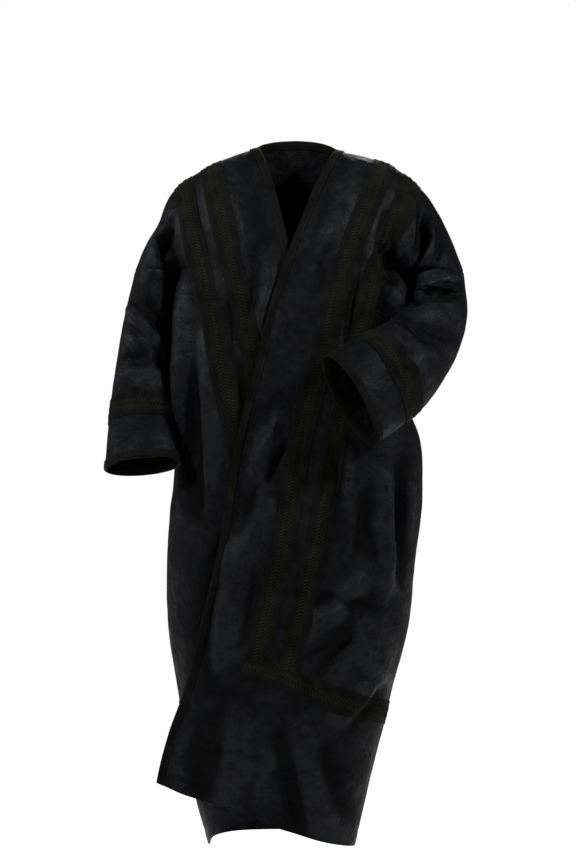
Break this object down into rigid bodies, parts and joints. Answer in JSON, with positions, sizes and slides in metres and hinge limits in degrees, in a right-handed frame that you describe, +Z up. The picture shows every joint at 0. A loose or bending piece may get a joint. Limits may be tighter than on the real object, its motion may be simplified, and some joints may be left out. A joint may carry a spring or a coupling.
{
  "type": "winter wrap cloak",
  "caption": "Collarless ankle-length winter cloak, worn: fronts wrapped left over right, woven braid trim, one sleeve hanging and one bent across the belly.",
  "frame": {"origin": "where the cloak sits on the wearer's shoulders, at the base of the neck", "axes": "+Z up along the wearer's back, -Y to the front where the cloak opens, +X to the wearer's left"},
  "size_m": [0.6879, 0.4455, 1.3571],
  "materials": {
    "cloth": "black bonded suede with a short nap and a soft blue-grey sheen",
    "binding": "ribbed woven binding, matt black",
    "braid": "woven chevron braid, black with a faint olive cast"
  },
  "bodies": {
    "root": {"back": "cloth", "left_front": "cloth", "right_front": "cloth", "left_sleeve": "cloth", "right_sleeve": "cloth", "left_front_binding": "binding", "right_front_binding": "binding", "back_neck_binding": "binding", "left_cuff_binding": "binding", "right_cuff_binding": "binding", "left_inner_braid": "braid", "left_outer_braid": "braid", "left_cross_braid": "braid", "right_inner_braid": "braid", "right_outer_braid": "braid", "right_cross_braid": "braid", "left_sleeve_braid": "braid", "right_sleeve_braid": "braid"}
  },
  "joints": []
}
